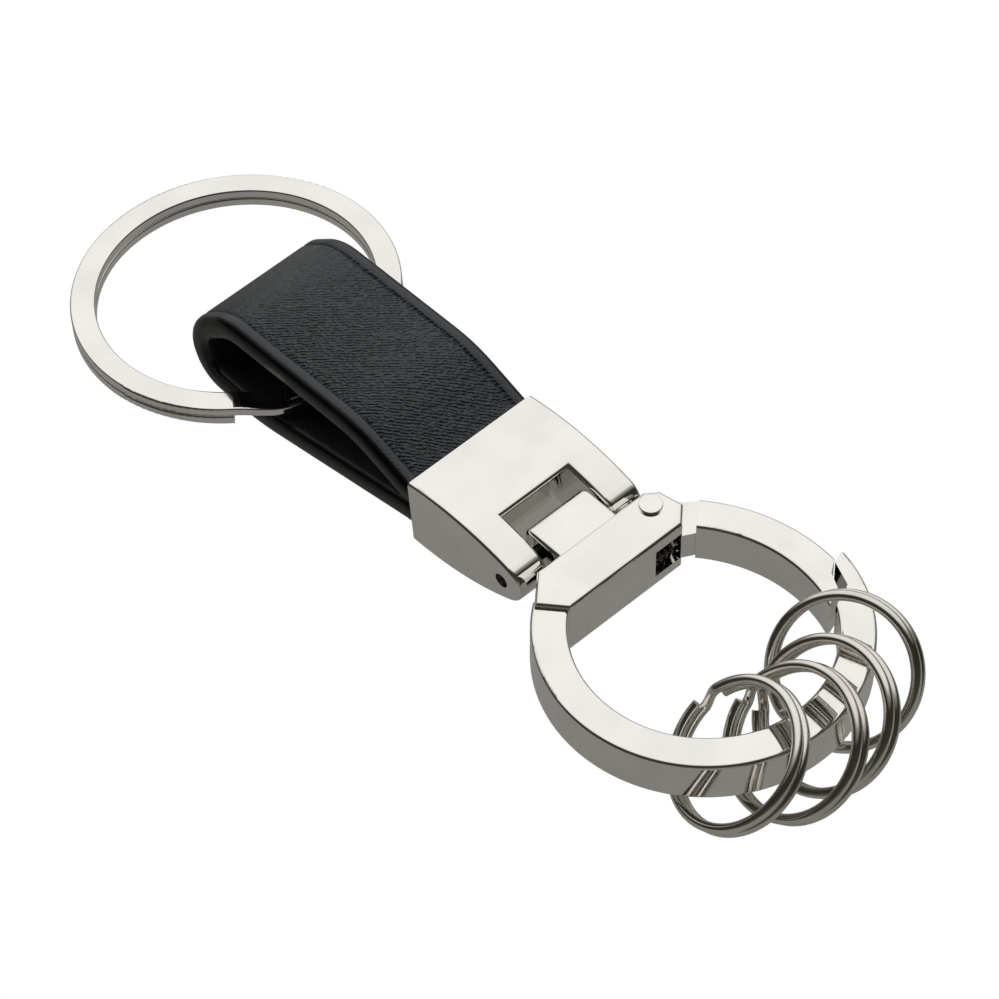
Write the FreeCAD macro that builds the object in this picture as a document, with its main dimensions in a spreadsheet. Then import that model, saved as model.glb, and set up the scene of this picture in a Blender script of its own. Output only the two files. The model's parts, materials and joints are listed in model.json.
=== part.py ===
import FreeCAD, Part

# Key organiser: leather loop with a large split ring, hinged to a gated ring that carries key rings.
# Millimetres. Origin at the centre of the gated ring, +X away from the hinge, +Z up.

import math
import os

import Sketcher

Vec = FreeCAD.Vector
Turn = FreeCAD.Rotation
Spot = FreeCAD.Placement

TOUCH = 0.001

SIZES = {
    # gated ring: fixed arm and the step its gate closes on
    "ring_outer_r": 17.0,
    "ring_inner_r": 13.27,
    "ring_height": 5.2,
    "ring_edge_r": 0.45,
    "cut_clear": 1.0,
    "arm_start": 216.0,
    "arm_sweep": 227.0,
    "lip_a_x": 3.4,
    "lip_a_y": 17.5,
    "lip_b_x": 2.7,
    "lip_b_y": 16.4,
    "lip_c_x": 3.2,
    "lip_c_y": 15.1,
    "lip_d_x": 6.0,
    "lip_d_y": 14.0,
    "lip_e_x": 6.4,
    "lip_e_y": 13.3,
    "lip_f_x": 7.1,
    "lip_f_y": 11.2,
    "lip_g_x": 9.0,
    "lip_g_y": 9.7,
    # bar across the ring
    "bar_front": 10.3,
    "bar_back": 15.9,
    "bar_drop": 0.3,
    "bar_height": 7.0,
    "bar_edge_r": 0.5,
    "near_in_y": 8.2,
    "near_out_x": 13.0,
    "near_out_y": 10.5,
    "near_back_y": 7.4,
    "far_in_y": 7.2,
    "far_mid_x": 12.1,
    "far_mid_y": 9.1,
    "far_out_x": 14.9,
    "far_out_y": 8.5,
    "far_back_y": 7.2,
    # hinge between the bar and the ferrule
    "hinge_reach": 3.5,
    "hinge_shift": 0.4,
    "tongue_half": 3.1,
    "tongue_end": 1.6,
    "tongue_nose_r": 1.2,
    "tongue_width": 8.0,
    "tongue_play": 0.55,
    "notch_play": 0.75,
    "tongue_edge_r": 0.5,
    "pin_r": 0.8,
    "pin_recess": 0.65,
    "pin_play": 0.03,
    "ferrule_pitch": 5.5,
    # gate
    "gate_centre_x": 0.8,
    "gate_centre_y": 3.9,
    "gate_outer_r": 19.5,
    "gate_width": 3.7,
    "tip_a_x": 2.1,
    "tip_a_y": 17.0,
    "tip_b_x": 2.7,
    "tip_b_y": 15.55,
    "tip_c_x": 3.9,
    "tip_c_y": 13.85,
    "tip_d_x": 5.9,
    "tip_d_y": 12.85,
    "tip_e_x": 6.5,
    "tip_e_y": 11.0,
    "tip_f_x": 8.2,
    "tip_f_y": 9.0,
    "gate_start": 58.0,
    "gate_sweep": 72.0,
    "rivet_x": 14.1,
    "rivet_y": 6.5,
    "rivet_r": 0.8,
    "head_r": 1.25,
    "head_height": 0.35,
    "head_edge_r": 0.12,
    "fork_gap": 3.8,
    "fork_start": 3.6,
    "knuckle_play": 0.15,
    "knuckle_r": 1.45,
    "heel_x": 10.2,
    "heel_y": 7.0,
    "neck_back_x": 15.2,
    "neck_back_y": 7.7,
    "neck_foot_x": 12.85,
    "neck_in_x": 9.1,
    "neck_in_y": 9.0,
    "neck_out_x": 12.2,
    "neck_out_y": 11.4,
    # gate spring
    "spring_x": 11.5,
    "spring_r": 0.93,
    "spring_wire_r": 0.2,
    "spring_pitch": 0.75,
    "spring_play": 0.03,
    # ferrule
    "ferrule_length": 13.4,
    "ferrule_width": 17.1,
    "ferrule_wall": 0.65,
    "ferrule_cheek": 1.15,
    "ferrule_web": 0.95,
    "ferrule_arc": 32.0,
    "nose_x": 1.1,
    "nose_drop": 1.9,
    "nose_ease": 0.16,
    "ferrule_edge_r": 0.5,
    "slot_play": 0.075,
    "slot_side_play": 0.15,
    "slot_end_play": 0.4,
    "notch_edge_r": 0.6,
    # leather strap
    "strap_inset": 0.05,
    "strap_thick": 2.75,
    "strap_lower": 0.7,
    "tail_gap": 0.05,
    "mouth_play": 0.1,
    "strap_bend_in": 0.9,
    "mouth_bend_r": 3.0,
    "rise_bend_r": 14.0,
    "top_bend_r": 5.5,
    "reach_bend_r": 4.2,
    "turn_bend_r": 3.1,
    "low_bend_r": 24.0,
    "loop_rise_x": 21.5,
    "loop_rise_z": 5.45,
    "loop_top_x": 41.1,
    "loop_top_z": 6.7,
    "loop_reach": 47.1,
    "loop_reach_z": 2.6,
    "loop_turn_x": 45.4,
    "loop_turn_z": 2.5,
    "loop_low_x": 38.0,
    "loop_low_z": 3.5,
    # large split ring
    "big_outer_r": 17.5,
    "big_width": 2.65,
    "big_wire": 1.08,
    "big_edge_r": 0.25,
    "big_reach": 31.78,
    "big_shift": 0.9,
    "big_drop": 3.123,
    "big_tilt": 5.5,
    "big_cut": -42.0,
    "big_crossing": 20.0,
    # key rings
    "key_outer_r": 8.05,
    "key_wire_r": 0.55,
    "key_crossing": 20.0,
    "coil_gap": 0.06,
}

# sizes that follow from the ones above, so that what fits together stays together
FITS = {
    "hinge_x": "bar_back + hinge_reach",
    "knuckle_height": "fork_gap - 2 * knuckle_play",
    "pin_length": "ferrule_width - 2 * pin_recess",
    "notch_width": "tongue_width + 2 * tongue_play",
    "notch_depth": "tongue_half + notch_play",
    "slot_width": "ferrule_width - 2 * ferrule_cheek",
    "slot_depth": "ferrule_length - notch_depth - ferrule_web",
    "strap_width": "ferrule_width - 2 * strap_inset",
    "strap_tail": "notch_depth + ferrule_web + slot_end_play",
    "strap_upper": "strap_thick + tail_gap - strap_lower",
    "tail_width": "slot_width - 2 * slot_side_play",
    "slot_low": "strap_lower + strap_thick / 2 + slot_play",
    "slot_high": "strap_upper + strap_thick / 2 + slot_play",
    "ferrule_half": "slot_high + ferrule_wall",
    "nose_half": "ferrule_half - nose_drop",
    "nose_arc": "nose_half + nose_ease",
}

# name, azimuth round the arm, distance out, height, lean along the arm, lean outward, azimuth of its cut
KEY_RINGS = [
    ("key_ring_1", -31.3, 14.52, 0.74, -0.648, 0.075, 146.0),
    ("key_ring_2", -9.8, 15.55, 1.14, -0.698, -0.023, 160.0),
    ("key_ring_3", 5.9, 15.36, 1.5, -0.707, -0.151, 190.0),
    ("key_ring_4", 28.3, 14.39, 1.41, -0.736, -0.138, 250.0),
]


class Size:
    """A number with the expression that gives it from the spreadsheet."""

    def __init__(self, value, text):
        self.value = float(value)
        self.text = text

    def join(self, other, sign):
        if not isinstance(other, Size):
            other = Size(other, repr(float(other)))
        results = {
            "+": self.value + other.value,
            "-": self.value - other.value,
            "*": self.value * other.value,
        }
        return Size(results[sign], "(%s %s %s)" % (self.text, sign, other.text))

    def __add__(self, other):
        return self.join(other, "+")

    def __sub__(self, other):
        return self.join(other, "-")

    def __mul__(self, other):
        return self.join(other, "*")

    def __neg__(self):
        return self.join(-1.0, "*")


def size(alias):
    return Size(SIZES[alias], "sizes." + alias)


def constant(number):
    return Size(number, repr(float(number)))


def make_sheet(doc):
    sheet = doc.addObject("Spreadsheet::Sheet", "sizes")
    rows = [(alias, str(number)) for alias, number in SIZES.items()]
    rows += [(alias, "=" + rule) for alias, rule in FITS.items()]
    for row, (alias, content) in enumerate(rows, 1):
        sheet.set("A%d" % row, alias)
        sheet.set("B%d" % row, content)
        sheet.setAlias("B%d" % row, alias)
    doc.recompute()
    for alias in FITS:
        SIZES[alias] = float(sheet.get(alias))


def bind(obj, prop, amount):
    obj.setExpression(prop, amount.text)


def make_body(doc, name):
    body = doc.addObject("PartDesign::Body", name)
    body.Label = name
    return body


def make_sketch(body, role, name, offset=None):
    sketch = body.newObject("Sketcher::SketchObject", name)
    plane = [item for item in body.Origin.OriginFeatures if item.Role == role][0]
    sketch.AttachmentSupport = [(plane, "")]
    sketch.MapMode = "FlatFace"
    if offset is not None:
        sketch.AttachmentOffset = offset
    return sketch


def hold_point(sketch, edge, end, x, y):
    """Fix one point of an edge at its bound coordinates."""
    for kind, amount, axis in (("DistanceX", x, -2), ("DistanceY", y, -1)):
        if amount.value == 0:
            sketch.addConstraint(Sketcher.Constraint("PointOnObject", edge, end, axis))
            continue
        rule = Sketcher.Constraint(kind, -1, 1, edge, end, amount.value)
        number = sketch.addConstraint(rule)
        bind(sketch, "Constraints[%d]" % number, amount)


def arc_edge(start, end, radius, turn):
    """Minor arc between two points; turn is 1 when it bends left and -1 when it bends right."""
    chord = end - start
    middle = (start + end) * 0.5
    left = Vec(-chord.y, chord.x, 0).normalize()
    reach = math.sqrt(max(radius * radius - chord.Length * chord.Length / 4, 0))
    centre = middle + left * (reach * turn)
    circle = Part.Circle(centre, Vec(0, 0, 1), radius)
    ends = [start, end] if turn > 0 else [end, start]
    angles = [math.atan2(p.y - centre.y, p.x - centre.x) for p in ends]
    return Part.ArcOfCircle(circle, angles[0], angles[1])


def draw_outline(sketch, path):
    """Closed outline. A step is (x, y), or (x, y, radius, turn) when an arc leads to the next."""
    spots = [Vec(step[0].value, step[1].value, 0) for step in path]
    heads = [2 if len(step) == 4 and step[3] < 0 else 1 for step in path]
    for number, step in enumerate(path):
        start = spots[number]
        end = spots[(number + 1) % len(path)]
        if len(step) == 4:
            sketch.addGeometry(arc_edge(start, end, step[2].value, step[3]), False)
        else:
            sketch.addGeometry(Part.LineSegment(start, end), False)
    for number, head in enumerate(heads):
        after = (number + 1) % len(path)
        meet = Sketcher.Constraint("Coincident", number, 3 - head, after, heads[after])
        sketch.addConstraint(meet)
    for number, step in enumerate(path):
        hold_point(sketch, number, heads[number], step[0], step[1])
        if len(step) == 4:
            rule = sketch.addConstraint(Sketcher.Constraint("Radius", number, step[2].value))
            bind(sketch, "Constraints[%d]" % rule, step[2])


def draw_circle(sketch, x, y, radius):
    centre = Vec(x.value, y.value, 0)
    edge = sketch.addGeometry(Part.Circle(centre, Vec(0, 0, 1), radius.value), False)
    hold_point(sketch, edge, 3, x, y)
    rule = sketch.addConstraint(Sketcher.Constraint("Radius", edge, radius.value))
    bind(sketch, "Constraints[%d]" % rule, radius)


def rounded_rectangle(left, right, low, high, edge):
    return [
        (left + edge, low),
        (right - edge, low, edge, 1),
        (right, low + edge),
        (right, high - edge, edge, 1),
        (right - edge, high),
        (left + edge, high, edge, 1),
        (left, high - edge),
        (left, low + edge, edge, 1),
    ]


def rectangle(left, right, low, high):
    return [(left, low), (right, low), (right, high), (left, high)]


def add_prism(body, kind, sketch, name, length):
    """Pad or pocket that runs half its length to each side of the sketch."""
    feature = body.newObject("PartDesign::" + kind, name)
    feature.Profile = sketch
    feature.SideType = "Symmetric"
    feature.Type = "Length"
    bind(feature, "Length", length)
    return feature


def add_revolution(body, sketch, name, angle):
    feature = body.newObject("PartDesign::Revolution", name)
    feature.Profile = sketch
    feature.ReferenceAxis = (sketch, ["V_Axis"])
    bind(feature, "Angle", angle)
    return feature


def add_fillet(doc, body, base, name, radius, wanted):
    """Round the edges of base that the wanted test picks."""
    doc.recompute()
    edges = []
    for number, edge in enumerate(base.Shape.Edges, 1):
        if wanted(edge):
            edges.append("Edge%d" % number)
    feature = body.newObject("PartDesign::Fillet", name)
    feature.Base = (base, edges)
    bind(feature, "Radius", radius)
    return feature


def joint_points(prefix, letters):
    """One side of the stepped joint between the arm's tip and the gate's free end."""
    return [(size("%s_%s_x" % (prefix, key)), size("%s_%s_y" % (prefix, key))) for key in letters]


def make_carrier(doc):
    body = make_body(doc, "carrier")
    drop = -size("bar_drop")
    half = size("ring_height") * 0.5
    spin = Spot(Vec(0, 0, 0), Turn(Vec(0, 1, 0), SIZES["arm_start"]))
    section = make_sketch(body, "XZ_Plane", "arm_section", spin)
    bind(section, "AttachmentOffset.Rotation.Angle", size("arm_start"))
    inner = size("ring_inner_r")
    outer = size("ring_outer_r")
    draw_outline(section, rounded_rectangle(inner, outer, -half, half, size("ring_edge_r")))
    add_revolution(body, section, "arm", size("arm_sweep"))

    lip = make_sketch(body, "XY_Plane", "lip_outline")
    clear = size("cut_clear")
    high = size("ring_outer_r") + clear
    left = -size("lip_b_x")
    corners = [(left, size("lip_g_y")), (left, high)]
    draw_outline(lip, joint_points("lip", "abcdefg") + corners)
    add_prism(body, "Pocket", lip, "lip", size("ring_height") * 2)

    lower = Spot(Vec(0, 0, -SIZES["bar_drop"]), Turn())
    plan = make_sketch(body, "XY_Plane", "bar_outline", lower)
    bind(plan, "AttachmentOffset.Base.z", drop)
    front = -size("bar_front")
    back = -size("bar_back")
    draw_outline(plan, [
        (front, -size("near_in_y")),
        (front, size("far_in_y")),
        (-size("far_mid_x"), size("far_mid_y")),
        (-size("far_out_x"), size("far_out_y")),
        (back, size("far_back_y")),
        (back, -size("near_back_y")),
        (-size("near_out_x"), -size("near_out_y")),
    ])
    bar = add_prism(body, "Pad", plan, "bar", size("bar_height"))
    top = SIZES["bar_height"] / 2 - SIZES["bar_drop"]
    low = -SIZES["bar_height"] / 2 - SIZES["bar_drop"]

    def on_bar_rim(edge):
        heights = [vertex.Z for vertex in edge.Vertexes]
        return all(abs(z - top) < TOUCH or abs(z - low) < TOUCH for z in heights) and \
            abs(heights[0] - heights[-1]) < TOUCH

    add_fillet(doc, body, bar, "bar_edges", size("bar_edge_r"), on_bar_rim)

    tongue = make_sketch(body, "XZ_Plane", "tongue_outline")
    tongue.AttachmentOffset = Spot(Vec(0, 0, SIZES["hinge_shift"]), Turn())
    bind(tongue, "AttachmentOffset.Base.z", size("hinge_shift"))
    hinge = -size("hinge_x")
    tongue_top = drop + size("tongue_half")
    tongue_low = drop - size("tongue_half")
    stop = hinge - size("tongue_end")
    nose = size("tongue_nose_r")
    root = back + clear
    draw_outline(tongue, [
        (root, tongue_low),
        (root, tongue_top),
        (stop + nose, tongue_top, nose, 1),
        (stop, tongue_top - nose),
        (stop, tongue_low + nose, nose, 1),
        (stop + nose, tongue_low),
    ])
    tab = add_prism(body, "Pad", tongue, "tongue", size("tongue_width"))
    side = SIZES["tongue_width"] / 2

    def on_tongue_rim(edge):
        ends = [vertex.Point for vertex in edge.Vertexes]
        return all(abs(abs(end.y + SIZES["hinge_shift"]) - side) < TOUCH for end in ends) and \
            abs(ends[0].y - ends[-1].y) < TOUCH and min(end.x for end in ends) < -SIZES["bar_back"] - TOUCH

    add_fillet(doc, body, tab, "tongue_edges", size("tongue_edge_r"), on_tongue_rim)

    bore = make_sketch(body, "XZ_Plane", "hinge_circle")
    draw_circle(bore, hinge, drop, size("pin_r") + size("pin_play"))
    add_prism(body, "Pocket", bore, "hinge_bore", size("ferrule_width") * 2)

    fork = make_sketch(body, "XY_Plane", "fork_outline", lower)
    bind(fork, "AttachmentOffset.Base.z", drop)
    end = size("far_mid_y") + clear
    wide = rectangle(back - clear, front + clear, size("fork_start"), end)
    draw_outline(fork, wide)
    add_prism(body, "Pocket", fork, "fork", size("fork_gap"))

    hole = make_sketch(body, "XY_Plane", "rivet_circle")
    draw_circle(hole, -size("rivet_x"), size("rivet_y"), size("rivet_r") + size("pin_play"))
    add_prism(body, "Pocket", hole, "rivet_bore", size("bar_height") * 3)
    return body


def make_gate(doc):
    body = make_body(doc, "gate")
    half = size("ring_height") * 0.5
    start = Vec(SIZES["gate_centre_x"], 0, SIZES["gate_centre_y"])
    spin = Spot(start, Turn(Vec(0, 1, 0), SIZES["gate_start"]))
    section = make_sketch(body, "XZ_Plane", "gate_section", spin)
    bind(section, "AttachmentOffset.Base.x", size("gate_centre_x"))
    bind(section, "AttachmentOffset.Base.z", size("gate_centre_y"))
    bind(section, "AttachmentOffset.Rotation.Angle", size("gate_start"))
    outer = size("gate_outer_r")
    inner = outer - size("gate_width")
    draw_outline(section, rounded_rectangle(inner, outer, -half, half, size("ring_edge_r")))
    add_revolution(body, section, "gate_arc", size("gate_sweep"))

    tip = make_sketch(body, "XY_Plane", "tip_outline")
    clear = size("cut_clear")
    right = outer + clear
    corners = [(right, constant(0.0)), (right, outer)]
    draw_outline(tip, joint_points("tip", "abcdef") + corners)
    add_prism(body, "Pocket", tip, "tip", size("ring_height") * 2)

    lower = Spot(Vec(0, 0, -SIZES["bar_drop"]), Turn())
    neck = make_sketch(body, "XY_Plane", "neck_outline", lower)
    bind(neck, "AttachmentOffset.Base.z", -size("bar_drop"))
    pivot_x = -size("rivet_x")
    pivot_y = size("rivet_y")
    draw_outline(neck, [
        (-size("neck_back_x"), size("neck_back_y")),
        (-size("neck_foot_x"), pivot_y),
        (-size("neck_foot_x"), size("heel_y")),
        (-size("heel_x"), size("heel_y")),
        (-size("neck_in_x"), size("neck_in_y")),
        (-size("neck_out_x"), size("neck_out_y")),
    ])
    add_prism(body, "Pad", neck, "neck", size("knuckle_height"))

    round_end = make_sketch(body, "XY_Plane", "knuckle_circle", lower)
    bind(round_end, "AttachmentOffset.Base.z", -size("bar_drop"))
    draw_circle(round_end, pivot_x, pivot_y, size("knuckle_r"))
    add_prism(body, "Pad", round_end, "knuckle", size("knuckle_height"))

    hole = make_sketch(body, "XY_Plane", "pivot_circle")
    draw_circle(hole, pivot_x, pivot_y, size("rivet_r") + size("pin_play"))
    add_prism(body, "Pocket", hole, "pivot_bore", size("bar_height") * 3)
    return body


def make_rivet(doc):
    body = make_body(doc, "gate_rivet")
    sketch = make_sketch(body, "XZ_Plane", "rivet_section")
    shank = size("rivet_r")
    head = size("head_r")
    edge = size("head_edge_r")
    top = size("bar_height") * 0.5
    crown = top + size("head_height")
    centre = constant(0.0)
    draw_outline(sketch, [
        (centre, -crown),
        (head - edge, -crown, edge, 1),
        (head, edge - crown),
        (head, -top),
        (shank, -top),
        (shank, top),
        (head, top),
        (head, crown - edge, edge, 1),
        (head - edge, crown),
        (centre, crown),
    ])
    add_revolution(body, sketch, "rivet", constant(360.0))
    body.Placement.Base = Vec(-SIZES["rivet_x"], SIZES["rivet_y"], -SIZES["bar_drop"])
    bind(body, "Placement.Base.x", -size("rivet_x"))
    bind(body, "Placement.Base.y", size("rivet_y"))
    bind(body, "Placement.Base.z", -size("bar_drop"))
    return body


def hinge_placement():
    spot = Vec(-SIZES["hinge_x"], -SIZES["hinge_shift"], -SIZES["bar_drop"])
    return Spot(spot, Turn(Vec(0, 1, 0), -SIZES["ferrule_pitch"]))


def place_on_hinge(obj):
    obj.Placement = hinge_placement()
    bind(obj, "Placement.Base.x", -size("hinge_x"))
    bind(obj, "Placement.Base.y", -size("hinge_shift"))
    bind(obj, "Placement.Base.z", -size("bar_drop"))


def make_ferrule(doc):
    body = make_body(doc, "ferrule")
    side = make_sketch(body, "XZ_Plane", "side_outline")
    back = -size("ferrule_length")
    high = size("ferrule_half")
    nose_x = size("nose_x")
    nose = size("nose_half")
    flank = size("ferrule_arc")
    draw_outline(side, [
        (back, -high, flank, 1),
        (nose_x, -nose, size("nose_arc"), 1),
        (nose_x, nose, flank, 1),
        (back, high),
    ])
    block = add_prism(body, "Pad", side, "block", size("ferrule_width"))
    length = SIZES["ferrule_length"]

    def on_side_rim(edge):
        level = abs(edge.Vertexes[0].Y - edge.Vertexes[-1].Y) < TOUCH
        return level and any(vertex.X > TOUCH - length for vertex in edge.Vertexes)

    add_fillet(doc, body, block, "block_edges", size("ferrule_edge_r"), on_side_rim)

    notch = make_sketch(body, "XY_Plane", "notch_outline")
    half = size("notch_width") * 0.5
    depth = -size("notch_depth")
    draw_outline(notch, rectangle(depth, nose_x + high, -half, half))
    cut = add_prism(body, "Pocket", notch, "notch", high * 4)
    cheek = SIZES["notch_width"] / 2
    wall = -SIZES["notch_depth"]

    def on_notch_rim(edge):
        ends = [vertex.Point for vertex in edge.Vertexes]
        upright = abs(ends[0].x - wall) < TOUCH and (ends[0] - ends[-1]).Length > 2 * cheek + TOUCH
        sides = all(abs(abs(end.y) - cheek) < TOUCH for end in ends)
        corner = all(abs(end.x - wall) < TOUCH for end in ends)
        level = abs(ends[0].z - ends[-1].z) < TOUCH
        return sides and not upright and (level or not corner)

    add_fillet(doc, body, cut, "notch_edges", size("notch_edge_r"), on_notch_rim)

    slot = make_sketch(body, "XZ_Plane", "slot_outline")
    end = back + size("slot_depth")
    draw_outline(slot, rectangle(back - size("cut_clear"), end, -size("slot_low"), size("slot_high")))
    add_prism(body, "Pocket", slot, "slot", size("slot_width"))

    bore = make_sketch(body, "XZ_Plane", "pin_circle")
    draw_circle(bore, constant(0.0), constant(0.0), size("pin_r") + size("pin_play"))
    add_prism(body, "Pocket", bore, "pin_bore", size("ferrule_width") * 2)
    place_on_hinge(body)
    return body


def make_hinge_pin(doc):
    pin = doc.addObject("Part::Cylinder", "hinge_pin")
    pin.Label = "hinge_pin"
    bind(pin, "Radius", size("pin_r"))
    bind(pin, "Height", size("pin_length"))
    start = Vec(-SIZES["hinge_x"], SIZES["pin_length"] / 2, -SIZES["bar_drop"])
    pin.Placement = Spot(start, Turn(Vec(1, 0, 0), 90))
    bind(pin, "Placement.Base.x", -size("hinge_x"))
    bind(pin, "Placement.Base.y", size("pin_length") * 0.5 - size("hinge_shift"))
    bind(pin, "Placement.Base.z", -size("bar_drop"))
    return pin


def place_shape(doc, name, shape, placement):
    feature = doc.addObject("Part::Feature", name)
    feature.Label = name
    feature.Shape = shape
    feature.Placement = placement
    return feature


def sweep_section(path, section, side):
    """Solid swept along a path, its section held square to one fixed direction."""
    shell = Part.BRepOffsetAPI.MakePipeShell(path)
    shell.setBiNormalMode(side)
    shell.add(section)
    shell.build()
    shell.makeSolid()
    return shell.shape()


def flat_section(width, height, edge):
    """Rounded rectangle in the XZ plane about the origin."""
    x = width / 2
    z = height / 2
    corners = [(x, -z), (x, z), (-x, z), (-x, -z)]
    turns = [-90, 0, 90, 180]
    parts = []
    arcs = []
    for (px, pz), turn in zip(corners, turns):
        centre = Vec(px - math.copysign(edge, px), 0, pz - math.copysign(edge, pz))
        points = []
        for step in (0, 45, 90):
            angle = math.radians(turn + step)
            points.append(centre + Vec(math.cos(angle), 0, math.sin(angle)) * edge)
        arcs.append(points)
    for number, points in enumerate(arcs):
        following = arcs[(number + 1) % 4]
        parts.append(Part.Arc(*points).toShape())
        parts.append(Part.LineSegment(points[2], following[0]).toShape())
    return Part.Wire(parts)


def coil_path(radius, rise, cut, crossing):
    """Two level turns joined by one crossing that steps down from the upper to the lower."""

    def spot(angle, height):
        turn = math.radians(angle)
        return Vec(radius * math.cos(turn), radius * math.sin(turn), height)

    def level(first, last, height):
        middle = (first + last) / 2
        return Part.Arc(spot(first, height), spot(middle, height), spot(last, height)).toShape()

    steps = 8
    points = []
    for step in range(steps + 1):
        share = step / steps
        height = rise * (1 - 2 * (3 * share ** 2 - 2 * share ** 3))
        points.append(spot(cut + crossing * share, height))
    curve = Part.BSplineCurve()
    first = math.radians(cut)
    last = math.radians(cut + crossing)
    speed = radius * math.radians(crossing)
    curve.interpolate(
        Points=points,
        InitialTangent=Vec(-math.sin(first), math.cos(first), 0) * speed,
        FinalTangent=Vec(-math.sin(last), math.cos(last), 0) * speed,
    )
    upper = cut + crossing - 360
    middle = (upper + cut) / 2
    return Part.Wire([
        level(upper, middle, rise),
        level(middle, cut, rise),
        curve.toShape(),
        level(cut + crossing, middle + 360, -rise),
        level(middle + 360, cut + 360, -rise),
    ])


def make_split_ring(doc, name, radius, section, rise, cut, crossing, placement):
    path = coil_path(radius, rise, cut, crossing)
    start = path.Edges[0].valueAt(path.Edges[0].FirstParameter)
    azimuth = math.degrees(math.atan2(start.y, start.x))
    placed = section.copy()
    placed.Placement = Spot(start, Turn(Vec(0, 0, 1), azimuth))
    shape = sweep_section(path, placed, Vec(0, 0, 1))
    return place_shape(doc, name, shape, placement)


def make_large_ring(doc):
    wire = SIZES["big_wire"]
    width = SIZES["big_width"]
    section = flat_section(width, wire, SIZES["big_edge_r"])
    outer = SIZES["big_outer_r"]
    rise = (wire + SIZES["coil_gap"]) / 2
    cut = SIZES["big_cut"]
    crossing = SIZES["big_crossing"]
    near = Vec(-SIZES["hinge_x"] - SIZES["big_reach"], -SIZES["big_shift"], -SIZES["big_drop"])
    spin = Turn(Vec(0, 1, 0), -SIZES["big_tilt"])
    placement = Spot(near - spin.multVec(Vec(outer, 0, 0)), spin)
    middle = outer - width / 2
    return make_split_ring(doc, "large_ring", middle, section, rise, cut, crossing, placement)


def make_key_ring(doc, entry):
    name, azimuth, distance, height, along, outward, cut = entry
    wire = SIZES["key_wire_r"]
    circle = Part.Circle(Vec(0, 0, 0), Vec(0, 1, 0), wire)
    section = Part.Wire([circle.toShape()])
    angle = math.radians(azimuth)
    radial = Vec(math.cos(angle), math.sin(angle), 0)
    tangent = Vec(-math.sin(angle), math.cos(angle), 0)
    upright = math.sqrt(1 - along ** 2 - outward ** 2)
    normal = radial * outward + tangent * along + Vec(0, 0, upright)
    placement = Spot(radial * distance + Vec(0, 0, height), Turn(Vec(0, 0, 1), normal))
    radius = SIZES["key_outer_r"] - wire
    rise = wire + SIZES["coil_gap"] / 2
    return make_split_ring(doc, name, radius, section, rise, cut, SIZES["key_crossing"], placement)


def make_gate_spring(doc):
    wire = SIZES["spring_wire_r"]
    radius = SIZES["spring_r"]
    start = SIZES["fork_start"] + wire + SIZES["spring_play"]
    length = SIZES["heel_y"] - wire - SIZES["spring_play"] - start
    helix = Part.makeHelix(SIZES["spring_pitch"], length, radius)
    circle = Part.Circle(Vec(radius, 0, 0), Vec(0, 1, 0), wire)
    shell = Part.BRepOffsetAPI.MakePipeShell(Part.Wire(helix.Edges))
    shell.setFrenetMode(True)
    shell.add(Part.Wire([circle.toShape()]))
    shell.build()
    shell.makeSolid()
    spot = Vec(-SIZES["spring_x"], start, -SIZES["bar_drop"])
    return place_shape(doc, "gate_spring", shell.shape(), Spot(spot, Turn(Vec(1, 0, 0), -90)))


def strap_runs():
    """Corners of the leather's centre line with the radius that rounds each."""
    mouth = -SIZES["ferrule_length"] - SIZES["strap_bend_in"]
    tail = -SIZES["strap_tail"]
    upper = SIZES["strap_upper"]
    lower = -SIZES["strap_lower"]
    return [
        (tail, upper, 0),
        (mouth, upper, SIZES["mouth_bend_r"]),
        (-SIZES["loop_rise_x"], SIZES["loop_rise_z"], SIZES["rise_bend_r"]),
        (-SIZES["loop_top_x"], SIZES["loop_top_z"], SIZES["top_bend_r"]),
        (-SIZES["loop_reach"], SIZES["loop_reach_z"], SIZES["reach_bend_r"]),
        (-SIZES["loop_turn_x"], -SIZES["loop_turn_z"], SIZES["turn_bend_r"]),
        (-SIZES["loop_low_x"], -SIZES["loop_low_z"], SIZES["low_bend_r"]),
        (mouth, lower, SIZES["low_bend_r"] / 2),
        (tail, lower, 0),
    ]


def rounded_outline(corners, offset):
    """Points and edges of a run of lines and tangent arcs, moved sideways by offset."""
    spots = [Vec(x, 0, z) for x, z, radius in corners]
    steps = [(spots[n + 1] - spots[n]).normalize() for n in range(len(spots) - 1)]
    sides = [Vec(-step.z, 0, step.x) * offset for step in steps]
    edges = []
    last = spots[0] + sides[0]
    for n in range(1, len(spots) - 1):
        turn = steps[n - 1].getAngle(steps[n])
        cut = corners[n][2] * math.tan(turn / 2)
        enter = spots[n] - steps[n - 1] * cut
        leave = spots[n] + steps[n] * cut
        inward = (steps[n] - steps[n - 1]).normalize()
        centre = spots[n] + inward * (corners[n][2] / math.cos(turn / 2))
        first = enter + sides[n - 1]
        final = leave + sides[n]
        swing = (first - centre).Length
        middle = centre - inward * swing
        edges.append(Part.LineSegment(last, first).toShape())
        edges.append(Part.Arc(first, middle, final).toShape())
        last = final
    end = spots[-1] + sides[-1]
    edges.append(Part.LineSegment(last, end).toShape())
    return spots[0] + sides[0], end, edges


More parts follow.
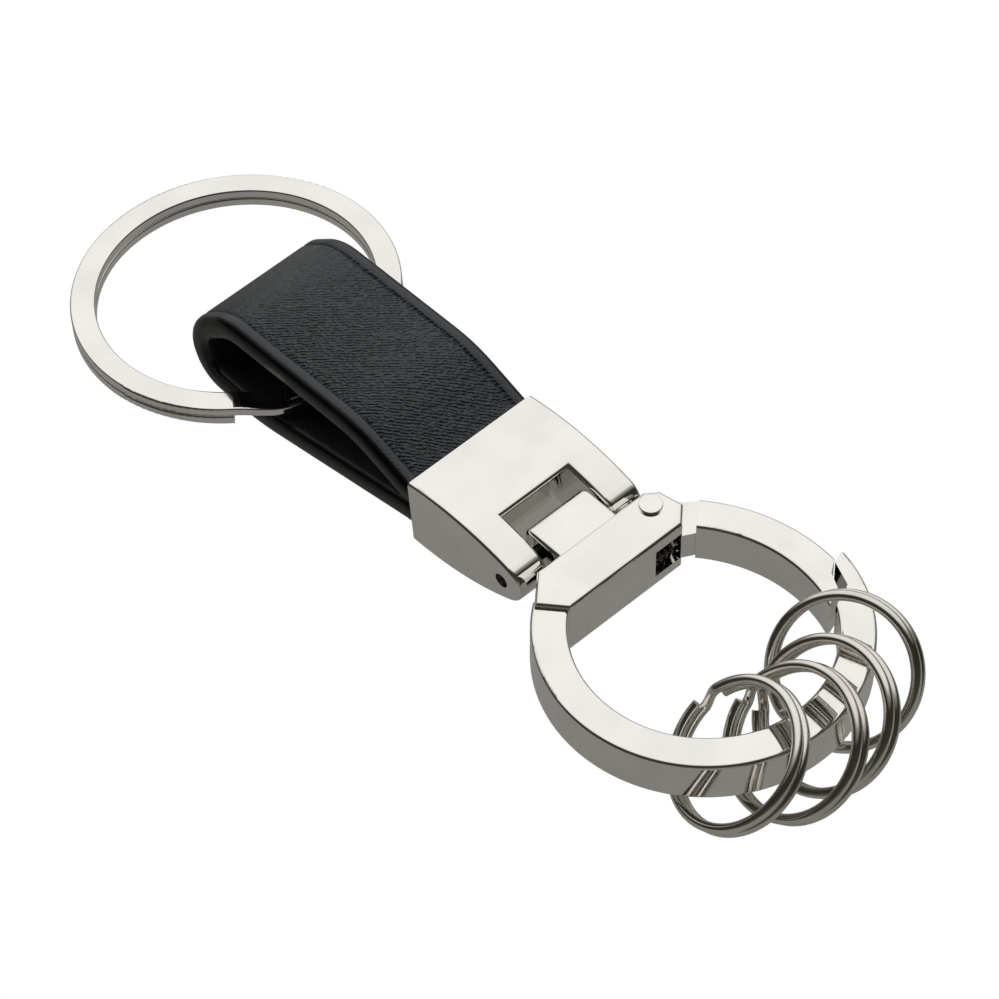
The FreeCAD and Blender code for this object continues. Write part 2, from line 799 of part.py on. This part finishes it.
def make_strap(doc):
    half = SIZES["strap_thick"] / 2
    wide = SIZES["strap_width"]
    start, finish, outer = rounded_outline(strap_runs(), half)
    tail, end, inner = rounded_outline(strap_runs(), -half)
    caps = [Part.LineSegment(finish, end).toShape(), Part.LineSegment(tail, start).toShape()]
    outline = Part.Wire(Part.__sortEdges__(outer + inner + caps))
    shape = Part.Face(outline).extrude(Vec(0, wide, 0))
    shape.translate(Vec(0, -wide / 2, 0))
    mouth = -SIZES["ferrule_length"] - SIZES["mouth_play"]
    clear = SIZES["cut_clear"]
    side = (wide - SIZES["tail_width"]) / 2 + clear
    tall = SIZES["ferrule_half"] * 3
    for low in (-wide / 2 - clear, SIZES["tail_width"] / 2):
        block = Part.makeBox(-mouth, side, tall, Vec(mouth, low, -tall / 2))
        shape = shape.cut(block)
    return place_shape(doc, "strap", shape.Solids[0], hinge_placement())


def check_part(obj):
    if "Invalid" in obj.State or "Error" in obj.State:
        raise RuntimeError(obj.Label + " did not recompute")
    shape = obj.Shape
    if shape.isNull() or not shape.isValid() or len(shape.Solids) != 1:
        raise RuntimeError(obj.Label + " is not one valid solid")


def main():
    doc = FreeCAD.newDocument("key_organiser")
    make_sheet(doc)
    parts = [
        make_carrier(doc),
        make_gate(doc),
        make_rivet(doc),
        make_gate_spring(doc),
        make_ferrule(doc),
        make_hinge_pin(doc),
        make_strap(doc),
        make_large_ring(doc),
    ]
    for entry in KEY_RINGS:
        parts.append(make_key_ring(doc, entry))
    doc.recompute()
    os.makedirs("parts", exist_ok=True)
    for obj in doc.Objects:
        if "Invalid" in obj.State or "Error" in obj.State:
            raise RuntimeError(obj.Label + " did not recompute")
    for part in parts:
        check_part(part)
        part.Shape.exportStep("parts/%s.step" % part.Label)
        box = part.Shape.BoundBox
        print(part.Label, round(part.Shape.Volume, 2), round(box.XMin, 2), round(box.XMax, 2),
              round(box.YMin, 2), round(box.YMax, 2), round(box.ZMin, 2), round(box.ZMax, 2))


main()
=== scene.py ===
import json
import math

import bpy
from mathutils import Matrix, Vector


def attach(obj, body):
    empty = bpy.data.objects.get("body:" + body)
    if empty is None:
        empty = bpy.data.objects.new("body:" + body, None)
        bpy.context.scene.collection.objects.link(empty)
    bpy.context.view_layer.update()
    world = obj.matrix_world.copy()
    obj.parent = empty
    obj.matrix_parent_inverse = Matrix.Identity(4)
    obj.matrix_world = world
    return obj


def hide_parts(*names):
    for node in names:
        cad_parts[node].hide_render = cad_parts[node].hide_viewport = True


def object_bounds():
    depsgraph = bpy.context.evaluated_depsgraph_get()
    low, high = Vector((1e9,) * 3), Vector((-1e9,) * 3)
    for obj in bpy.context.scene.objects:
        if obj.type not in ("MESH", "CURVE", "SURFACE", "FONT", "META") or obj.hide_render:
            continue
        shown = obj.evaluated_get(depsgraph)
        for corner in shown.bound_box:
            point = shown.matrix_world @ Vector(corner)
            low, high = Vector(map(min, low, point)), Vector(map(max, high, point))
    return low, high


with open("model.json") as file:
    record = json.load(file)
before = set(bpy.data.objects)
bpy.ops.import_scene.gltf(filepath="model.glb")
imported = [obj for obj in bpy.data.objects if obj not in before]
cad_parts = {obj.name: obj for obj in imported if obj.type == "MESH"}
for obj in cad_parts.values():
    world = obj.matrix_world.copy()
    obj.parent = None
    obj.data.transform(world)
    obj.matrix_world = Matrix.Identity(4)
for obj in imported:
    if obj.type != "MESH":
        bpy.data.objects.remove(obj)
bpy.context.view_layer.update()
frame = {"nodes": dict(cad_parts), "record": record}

# Key organiser: polished nickel-coloured ring, gate, ferrule and split rings with a black leather loop.

MM = 0.001

JOINTS = {joint["name"]: joint for joint in frame["record"]["behaviour"]["joints"]}
HINGE_PIN = Vector(JOINTS["fold"]["pos_m"])

# leather loop, millimetres, measured from the hinge pin with the ferrule level
STRAP_WIDTH = 17.0
STRAP_THICK = 2.75
STRAP_EDGE = 1.0
CREASE_IN = 1.75
CREASE_WIDE = 0.3
CREASE_DEEP = 0.16
TAIL_X = -5.2
TAIL_WIDTH = 14.5
UPPER_Z = 2.1
LOWER_Z = -0.7
MOUTH_X = -13.5
MOUTH_STEP = 0.08
STRAP_CORNERS = [
    # x, z, bend radius
    (-14.3, UPPER_Z, 3.0),
    (-21.5, 5.45, 14.0),
    (-41.1, 6.7, 5.5),
    (-47.1, 2.6, 4.2),
    (-45.4, -2.5, 3.1),
    (-38.0, -3.5, 24.0),
    (-14.3, LOWER_Z, 12.0),
]
# the line through the middle of the loop, which tells its outside from its inside
LOOP_CORE_NEAR = (-14, 0, 0)
LOOP_CORE_FAR = (-41, 0, 1.6)

# how far the ferrule and leather lean at rest, and the turn between two cuts of a bend, degrees
STRAP_PITCH = 5.5
BEND_STEP = 4.0
# fewest cuts in a bend, and flats round each corner of the strap's cut end
LEAST_STEPS = 3
EDGE_SEGMENTS = 5
# how much of the rounded edge stays unpainted, as a share of its width
UNPAINTED_SHARE = 0.2
# the strap's finishes, in the order of its slots
GRAIN_SIDE, PAINTED_EDGE, LINING_SIDE = range(3)

# how near a point has to be to count, and how near two points are to be one, metres
CLOSE = 0.05 * MM
WELD = 0.002 * MM
# faces that meet at less than this are shaded as one surface, radians
SMOOTH_ANGLE = math.radians(35)

# leather grain: its slant in radians, the rest in metres, with the start and end of the worn
# border and of the wear over the fold
GRAIN_SLANT = math.radians(47)
GRAIN_PITCH = 0.36 * MM
GRAIN_LENGTH = 0.6 * MM
GRAIN_DEPTH = 0.22 * MM
GRAIN_BORDER = (6.7 * MM, 7.0 * MM)
FOLD_WORN = (-62 * MM, -55 * MM)
# the width of one band of a wave texture whose scale is 1
WAVE_BAND = math.pi / 10


# ---- bench tools -------------------------------------------------------------------------


def clear_bench():
    if bpy.context.object is not None and bpy.context.object.mode != "OBJECT":
        bpy.ops.object.mode_set(mode="OBJECT")
    bpy.ops.object.select_all(action="DESELECT")


def open_mesh():
    bpy.ops.object.mode_set(mode="EDIT")


def close_mesh():
    bpy.ops.object.mode_set(mode="OBJECT")


def pick(piece, wanted):
    """Select the points of a piece that a test wants, and leave edit mode open."""
    close_mesh()
    mesh = piece.data
    for group in (mesh.vertices, mesh.edges, mesh.polygons):
        for item in group:
            item.select = False
    for vertex in mesh.vertices:
        vertex.select = wanted(vertex.co)
    open_mesh()
    bpy.ops.mesh.select_mode(type="VERT")


def name_piece(piece, name):
    piece.name = name
    piece.data.name = name


# ---- leather loop ------------------------------------------------------------------------


def cut_strap_section():
    """The strap's cut end: a flat with rounded edges and a creased line near each edge."""
    clear_bench()
    bpy.ops.mesh.primitive_plane_add(size=1, rotation=(0, math.radians(90), 0))
    strap = bpy.context.object
    bpy.ops.object.transform_apply(location=True, rotation=True, scale=True)
    open_mesh()
    bpy.ops.mesh.select_all(action="SELECT")
    bpy.ops.transform.resize(value=(1, STRAP_WIDTH * MM, STRAP_THICK * MM))
    bpy.ops.transform.translate(value=(TAIL_X * MM, 0, UPPER_Z * MM))
    bpy.ops.mesh.select_mode(type="VERT")
    bpy.ops.mesh.bevel(
        affect="VERTICES", offset=STRAP_EDGE * MM, segments=EDGE_SEGMENTS, profile=0.5
    )
    edge = STRAP_WIDTH / 2 - CREASE_IN
    for side in (-1, 1):
        for shift in (-CREASE_WIDE, 0, CREASE_WIDE):
            bpy.ops.mesh.select_all(action="SELECT")
            bpy.ops.mesh.bisect(
                plane_co=(0, side * (edge + shift) * MM, 0), plane_no=(0, 1, 0)
            )
    outer = UPPER_Z + STRAP_THICK / 2
    for side in (-1, 1):
        pick(strap, lambda spot: abs(spot.y - side * edge * MM) < CLOSE
             and abs(spot.z - outer * MM) < CLOSE)
        bpy.ops.transform.translate(value=(0, 0, -CREASE_DEEP * MM))
    bpy.ops.mesh.select_mode(type="FACE")
    bpy.ops.mesh.select_all(action="SELECT")
    return strap


def run_strap(length, heading):
    step = heading * length * MM
    bpy.ops.mesh.extrude_region_move(TRANSFORM_OT_translate={"value": step})


def bend_strap(centre, turn):
    """Spin the cut end about a line across the strap; turn is in radians, right-handed about +Y."""
    steps = max(LEAST_STEPS, round(math.degrees(abs(turn)) / BEND_STEP))
    bpy.ops.mesh.spin(
        steps=steps, angle=-turn, center=centre * MM, axis=(0, 1, 0), use_auto_merge=False
    )


def shape_strap():
    strap = cut_strap_section()
    spots = [Vector((TAIL_X, 0, UPPER_Z))]
    spots += [Vector((x, 0, z)) for x, z, radius in STRAP_CORNERS]
    spots += [Vector((TAIL_X, 0, LOWER_Z))]
    headings = [(b - a).normalized() for a, b in zip(spots, spots[1:])]
    here = spots[0]
    for number, (x, z, radius) in enumerate(STRAP_CORNERS):
        before = headings[number]
        after = headings[number + 1]
        turn = before.angle(after)
        trim = radius * math.tan(turn / 2)
        enter = spots[number + 1] - before * trim
        leave = spots[number + 1] + after * trim
        inward = (after - before).normalized()
        centre = spots[number + 1] + inward * (radius / math.cos(turn / 2))
        run_strap((enter - here).length, before)
        way = 1 if before.cross(after).y > 0 else -1
        bend_strap(centre, way * turn)
        here = leave
    run_strap((spots[-1] - here).length, headings[-1])
    bpy.ops.mesh.select_all(action="SELECT")
    bpy.ops.mesh.remove_doubles(threshold=WELD)
    bpy.ops.mesh.normals_make_consistent(inside=False)
    close_mesh()
    trim_tails(strap)
    return strap


def trim_tails(strap):
    """Narrow both tails so that they go into the ferrule's slot."""
    for step in (0, MOUTH_STEP):
        open_mesh()
        bpy.ops.mesh.select_all(action="SELECT")
        bpy.ops.mesh.bisect(plane_co=((MOUTH_X + step) * MM, 0, 0), plane_no=(1, 0, 0))
        close_mesh()
    pick(strap, lambda spot: spot.x > (MOUTH_X + MOUTH_STEP / 2) * MM)
    bpy.ops.transform.resize(value=(1, TAIL_WIDTH / STRAP_WIDTH, 1), center_override=(0, 0, 0))
    close_mesh()


def paint_strap(strap):
    core_near = Vector(LOOP_CORE_NEAR) * MM
    span = Vector(LOOP_CORE_FAR) * MM - core_near
    rim = (STRAP_WIDTH / 2 - STRAP_EDGE * (1 - UNPAINTED_SHARE)) * MM
    for face in strap.data.polygons:
        flat = Vector((face.center.x, 0, face.center.z))
        share = min(max((flat - core_near).dot(span) / span.length_squared, 0), 1)
        outward = (flat - (core_near + span * share)).dot(face.normal)
        if abs(face.center.y) > rim:
            face.material_index = PAINTED_EDGE
        elif outward < 0:
            face.material_index = LINING_SIDE
        else:
            face.material_index = GRAIN_SIDE


def make_strap():
    strap = shape_strap()
    name_piece(strap, "leather_loop")
    for finish in (grain_leather(), edge_paint(), leather_lining()):
        strap.data.materials.append(finish)
    paint_strap(strap)
    clear_bench()
    strap.select_set(True)
    bpy.context.view_layer.objects.active = strap
    strap.rotation_euler = (0, math.radians(-STRAP_PITCH), 0)
    strap.location = HINGE_PIN
    bpy.ops.object.transform_apply(location=True, rotation=True, scale=True)
    bpy.ops.object.shade_smooth_by_angle(angle=SMOOTH_ANGLE)
    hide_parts("strap")
    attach(strap, "holder")


# ---- finishes ----------------------------------------------------------------------------


# sockets of a Mix node that mixes colours, which share their names with its other kinds
MIX_FACTOR = 0
MIX_FIRST = 6
MIX_SECOND = 7
MIX_RESULT = 2


class Finish:
    """A material with short ways to add and join its nodes."""

    def __init__(self, name):
        self.material = bpy.data.materials.new(name)
        self.material.use_nodes = True
        self.tree = self.material.node_tree
        self.shader = self.tree.nodes["Principled BSDF"]

    def add(self, kind, **settings):
        node = self.tree.nodes.new("ShaderNode" + kind)
        for key, value in settings.items():
            setattr(node, key, value)
        return node

    def join(self, out, into):
        self.tree.links.new(out, into)

    def place(self, scale, turn=(0, 0, 0)):
        """Object coordinates stretched by scale, in features per metre."""
        coordinates = self.add("TexCoord")
        mapping = self.add("Mapping")
        mapping.inputs["Scale"].default_value = scale
        mapping.inputs["Rotation"].default_value = turn
        self.join(coordinates.outputs["Object"], mapping.inputs["Vector"])
        return mapping.outputs["Vector"]

    def noise(self, scale, detail=3.0, rough=0.5, turn=(0, 0, 0)):
        node = self.add("TexNoise")
        node.inputs["Scale"].default_value = 1.0
        node.inputs["Detail"].default_value = detail
        node.inputs["Roughness"].default_value = rough
        self.join(self.place(scale, turn), node.inputs["Vector"])
        return node.outputs["Fac"]

    def spread(self, value, low, high, to_low, to_high):
        """Stretch a value that runs from low to high so that it runs from to_low to to_high."""
        node = self.add("MapRange")
        for key, number in (("From Min", low), ("From Max", high),
                            ("To Min", to_low), ("To Max", to_high)):
            node.inputs[key].default_value = number
        self.join(value, node.inputs["Value"])
        return node.outputs["Result"]

    def blend_colours(self, factor, first, second):
        node = self.add("Mix", data_type="RGBA")
        node.inputs[MIX_FIRST].default_value = (*first, 1)
        node.inputs[MIX_SECOND].default_value = (*second, 1)
        self.join(factor, node.inputs[MIX_FACTOR])
        return node.outputs[MIX_RESULT]

    def combine(self, first, second, kind="ADD"):
        node = self.add("Math", operation=kind)
        for number, value in enumerate((first, second)):
            if isinstance(value, (int, float)):
                node.inputs[number].default_value = value
            else:
                self.join(value, node.inputs[number])
        return node.outputs[0]

    def raise_by(self, height, depth):
        """Bump whose full height is depth, in metres."""
        node = self.add("Bump")
        node.inputs["Strength"].default_value = 1.0
        node.inputs["Distance"].default_value = depth
        self.join(height, node.inputs["Height"])
        self.join(node.outputs["Normal"], self.shader.inputs["Normal"])


# light and dark tone of each metal
NICKEL = ((0.88, 0.865, 0.835), (0.82, 0.81, 0.785))
RING_STEEL = ((0.80, 0.775, 0.74), (0.66, 0.63, 0.585))
# the hinge pin's tones are painted near black: painted shade of the dark hole the pin sits in
PIN_HOLE_SHADE = ((0.03, 0.028, 0.026), (0.015, 0.014, 0.012))
# piece, finish name, tones, roughness where smooth and where worn, depth of the waviness
METAL_JOBS = [
    ("carrier", "carrier_nickel", NICKEL, 0.035, 0.10, 0.05 * MM),
    ("gate", "gate_nickel", NICKEL, 0.035, 0.10, 0.05 * MM),
    ("gate_rivet", "rivet_nickel", NICKEL, 0.08, 0.18, 0.03 * MM),
    ("ferrule", "ferrule_nickel", NICKEL, 0.035, 0.10, 0.05 * MM),
    # the hinge pin is coloured near black as painted shade of its hole
    ("hinge_pin", "pin_steel", PIN_HOLE_SHADE, 0.3, 0.5, 0.02 * MM),
    ("large_ring", "large_ring_nickel", NICKEL, 0.04, 0.11, 0.04 * MM),
    ("key_ring_1", "key_ring_steel_1", RING_STEEL, 0.07, 0.16, 0.03 * MM),
    ("key_ring_2", "key_ring_steel_2", RING_STEEL, 0.07, 0.16, 0.03 * MM),
    ("key_ring_3", "key_ring_steel_3", RING_STEEL, 0.07, 0.16, 0.03 * MM),
    ("key_ring_4", "key_ring_steel_4", RING_STEEL, 0.07, 0.16, 0.03 * MM),
]
SEED_STEP = 0.37


def polished_metal(name, light, shade, smooth, worn, wave, seed):
    """Plated metal: soft tone drift, hairline scuffs and the slight waviness of hand polishing."""
    finish = Finish(name)
    shader = finish.shader
    shader.inputs["Metallic"].default_value = 1.0
    turn = (seed, seed * 0.7, seed * 1.3)
    drift = finish.noise((180, 180, 180), detail=2.0, rough=0.5, turn=turn)
    tone = finish.spread(drift, 0.35, 0.65, 0.0, 1.0)
    finish.join(finish.blend_colours(tone, light, shade), shader.inputs["Base Color"])
    scuffs = finish.noise((5200, 700, 5200), detail=4.0, rough=0.6, turn=turn)
    haze = finish.noise((420, 420, 420), detail=3.0, rough=0.55, turn=turn)
    wear = finish.combine(scuffs, haze, "MULTIPLY")
    rough = finish.spread(wear, 0.15, 0.42, smooth, worn)
    finish.join(rough, shader.inputs["Roughness"])
    swell = finish.noise((110, 110, 110), detail=1.0, rough=0.4, turn=turn)
    finish.raise_by(swell, wave)
    return finish.material


def spring_steel():
    finish = Finish("spring_steel")
    shader = finish.shader
    shader.inputs["Metallic"].default_value = 1.0
    oil = finish.noise((900, 900, 900), detail=3.0)
    tone = finish.spread(oil, 0.35, 0.65, 0.0, 1.0)
    colour = finish.blend_colours(tone, (0.055, 0.045, 0.038), (0.17, 0.15, 0.13))
    finish.join(colour, shader.inputs["Base Color"])
    finish.join(finish.spread(oil, 0.3, 0.7, 0.22, 0.42), shader.inputs["Roughness"])
    drawn = finish.noise((400, 9000, 400), detail=2.0)
    finish.raise_by(drawn, 0.004 * MM)
    return finish.material


def grain_leather():
    """Fine wavy grain set slantwise across the strap, worn smoother over the fold and the border, with
    its valleys painted darker as shade.
    """
    finish = Finish("grain_leather")
    shader = finish.shader
    coordinates = finish.add("TexCoord")
    slant = finish.add("Mapping", vector_type="TEXTURE")
    slant.inputs["Rotation"].default_value = (0, 0, GRAIN_SLANT)
    finish.join(coordinates.outputs["Object"], slant.inputs["Vector"])
    ridges = finish.add("TexWave", bands_direction="Y")
    ridges.inputs["Scale"].default_value = WAVE_BAND / GRAIN_PITCH
    ridges.inputs["Distortion"].default_value = 4.0
    ridges.inputs["Detail"].default_value = 2.0
    ridges.inputs["Detail Scale"].default_value = 0.8
    finish.join(slant.outputs["Vector"], ridges.inputs["Vector"])
    stretch = finish.add("Mapping")
    stretch.inputs["Scale"].default_value = (1 / GRAIN_LENGTH, 1 / GRAIN_PITCH, 1 / GRAIN_LENGTH)
    finish.join(slant.outputs["Vector"], stretch.inputs["Vector"])
    breaks = finish.add("TexNoise")
    breaks.inputs["Scale"].default_value = 1.3
    breaks.inputs["Detail"].default_value = 1.0
    finish.join(stretch.outputs["Vector"], breaks.inputs["Vector"])
    along = finish.add("SeparateXYZ")
    finish.join(coordinates.outputs["Object"], along.inputs[0])
    worn = finish.spread(along.outputs["X"], *FOLD_WORN, 0.25, 1.0)
    across = finish.combine(finish.combine(along.outputs["Y"], -HINGE_PIN.y), 0.0, "ABSOLUTE")
    kept = finish.combine(worn, finish.spread(across, *GRAIN_BORDER, 1.0, 0.1), "MULTIPLY")
    hide = finish.noise((260, 140, 260), detail=4.0, rough=0.6)
    crest = finish.combine(finish.combine(ridges.outputs["Fac"], 0.35, "MULTIPLY"),
                           finish.spread(breaks.outputs["Fac"], 0.32, 0.68, 0.0, 0.65))
    depth = finish.combine(finish.combine(crest, -1.0), kept, "MULTIPLY")
    level = finish.combine(finish.combine(kept, 0.6, "MULTIPLY"),
                           finish.spread(hide, 0.3, 0.7, 0.32, 0.48))
    # painted shade: the grain's depth also darkens the colour, so the valleys between the ridges are
    # painted darker
    tone = finish.combine(depth, level)
    colour = finish.blend_colours(tone, (0.002, 0.003, 0.0045), (0.034, 0.049, 0.065))
    finish.join(colour, shader.inputs["Base Color"])
    finish.join(finish.spread(hide, 0.3, 0.7, 0.34, 0.40), shader.inputs["Roughness"])
    shader.inputs["Specular IOR Level"].default_value = 0.6
    finish.raise_by(depth, GRAIN_DEPTH)
    return finish.material


def edge_paint():
    """Glossy black paint built up in thin coats on the strap's edges."""
    finish = Finish("edge_paint")
    shader = finish.shader
    brush = finish.noise((500, 2600, 500), detail=3.0)
    colour = finish.blend_colours(brush, (0.001, 0.0011, 0.0013), (0.003, 0.0032, 0.0036))
    finish.join(colour, shader.inputs["Base Color"])
    finish.join(finish.spread(brush, 0.3, 0.7, 0.22, 0.34), shader.inputs["Roughness"])
    shader.inputs["Specular IOR Level"].default_value = 0.3
    finish.raise_by(finish.noise((700, 1800, 700), detail=2.0), 0.03 * MM)
    return finish.material


def leather_lining():
    finish = Finish("leather_lining")
    shader = finish.shader
    nap = finish.noise((3200, 3200, 3200), detail=4.0, rough=0.65)
    colour = finish.blend_colours(nap, (0.005, 0.0052, 0.006), (0.012, 0.0125, 0.014))
    finish.join(colour, shader.inputs["Base Color"])
    finish.join(finish.spread(nap, 0.3, 0.7, 0.5, 0.62), shader.inputs["Roughness"])
    finish.raise_by(nap, 0.03 * MM)
    return finish.material


def finish_metal():
    for seed, (node, name, tones, smooth, worn, wave) in enumerate(METAL_JOBS, 1):
        metal = polished_metal(name, *tones, smooth, worn, wave, seed * SEED_STEP)
        coat_node(node, metal)
    coat_node("gate_spring", spring_steel())


def coat_node(node, material):
    slots = frame["nodes"][node].data.materials
    slots.clear()
    slots.append(material)


# ---- studio ------------------------------------------------------------------------------

# angles in degrees, lengths in millimetres
CAMERA_AZIMUTH = 47.12
CAMERA_ELEVATION = 51.18
CAMERA_ROLL = -0.355
CAMERA_DISTANCE = 503.3
CAMERA_SIDE = -19.96
CAMERA_RISE = 12.44
CAMERA_LIFT = 2.6
CAMERA_LENS = 185.4
CAMERA_SENSOR = 36
# nearest and farthest that the camera sees, metres
CAMERA_CLIP = (0.05, 10)
SOFTBOX_WAY = (-0.459, 0.427, 0.779)
# how far a direction leans towards the softbox, from 0 (away) to 1 (straight at it), and its colour
SOFTBOX_TONES = [
    (0.0, (0.30, 0.285, 0.26)),
    (0.35, (0.05, 0.045, 0.04)),
    (0.70, (0.03, 0.027, 0.024)),
    (0.79, (0.30, 0.29, 0.27)),
    (0.85, (0.88, 0.87, 0.85)),
    (1.0, (1.0, 0.995, 0.98)),
]
# the table is set this far down so that the leather can fold below the gated ring
FLOOR_DROP = 90 * MM
FLOOR_SIZE = 3000 * MM
FLOOR_PAPER = (0.52, 0.52, 0.505, 1)


def place_camera():
    azimuth = math.radians(CAMERA_AZIMUTH)
    elevation = math.radians(CAMERA_ELEVATION)
    roll = math.radians(CAMERA_ROLL)
    back = Vector((
        math.sin(azimuth) * math.cos(elevation),
        -math.cos(azimuth) * math.cos(elevation),
        math.sin(elevation),
    ))
    right = Vector((math.cos(azimuth), math.sin(azimuth), 0))
    up = back.cross(right)
    side = right * math.cos(roll) + up * math.sin(roll)
    rise = up * math.cos(roll) - right * math.sin(roll)
    spot = back * CAMERA_DISTANCE + side * CAMERA_SIDE + rise * CAMERA_RISE
    spot += Vector((0, 0, CAMERA_LIFT))
    bpy.ops.object.camera_add()
    camera = bpy.context.object
    camera.name = "studio_camera"
    camera.data.lens = CAMERA_LENS
    camera.data.sensor_width = CAMERA_SENSOR
    camera.data.clip_start, camera.data.clip_end = CAMERA_CLIP
    facing = Matrix((side, rise, back)).transposed().to_4x4()
    camera.matrix_world = Matrix.Translation(spot * MM) @ facing
    bpy.context.scene.camera = camera


def lay_floor():
    low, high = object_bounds()
    clear_bench()
    spot = ((low.x + high.x) / 2, 0, low.z - FLOOR_DROP)
    bpy.ops.mesh.primitive_plane_add(size=FLOOR_SIZE, location=spot)
    floor = bpy.context.object
    name_piece(floor, "studio_floor")
    paper = Finish("floor_paper")
    paper.shader.inputs["Base Color"].default_value = FLOOR_PAPER
    paper.shader.inputs["Roughness"].default_value = 0.9
    glow = paper.add("Emission")
    glow.inputs["Color"].default_value = (1, 1, 1, 1)
    glow.inputs["Strength"].default_value = 1.0
    mix = paper.add("MixShader")
    path = paper.add("LightPath")
    paper.join(path.outputs["Is Camera Ray"], mix.inputs[0])
    paper.join(paper.shader.outputs[0], mix.inputs[1])
    paper.join(glow.outputs[0], mix.inputs[2])
    output = paper.tree.nodes["Material Output"]
    paper.join(mix.outputs[0], output.inputs["Surface"])
    floor.data.materials.append(paper.material)


def light_studio():
    world = bpy.data.worlds.new("studio")
    bpy.context.scene.world = world
    world.use_nodes = True
    nodes = world.node_tree.nodes
    links = world.node_tree.links
    backdrop = nodes["Background"]
    coordinates = nodes.new("ShaderNodeTexCoord")
    aim = nodes.new("ShaderNodeVectorMath")
    aim.operation = "DOT_PRODUCT"
    aim.inputs[1].default_value = SOFTBOX_WAY
    spread = nodes.new("ShaderNodeMapRange")
    spread.inputs["From Min"].default_value = -1.0
    ramp = nodes.new("ShaderNodeValToRGB")
    links.new(coordinates.outputs["Generated"], aim.inputs[0])
    links.new(aim.outputs["Value"], spread.inputs["Value"])
    links.new(spread.outputs["Result"], ramp.inputs[0])
    links.new(ramp.outputs[0], backdrop.inputs["Color"])
    marks = ramp.color_ramp.elements
    while len(marks) < len(SOFTBOX_TONES):
        marks.new(0.5)
    for mark, (place, colour) in zip(marks, SOFTBOX_TONES):
        mark.position = place
        mark.color = (*colour, 1)
    pale = nodes.new("ShaderNodeBackground")
    pale.inputs["Color"].default_value = (1, 1, 1, 1)
    path = nodes.new("ShaderNodeLightPath")
    mix = nodes.new("ShaderNodeMixShader")
    links.new(path.outputs["Is Camera Ray"], mix.inputs[0])
    links.new(backdrop.outputs[0], mix.inputs[1])
    links.new(pale.outputs[0], mix.inputs[2])
    links.new(mix.outputs[0], nodes["World Output"].inputs["Surface"])
    view = bpy.context.scene.view_settings
    view.view_transform = "Standard"
    view.look = "None"


finish_metal()
make_strap()
light_studio()
lay_floor()
place_camera()
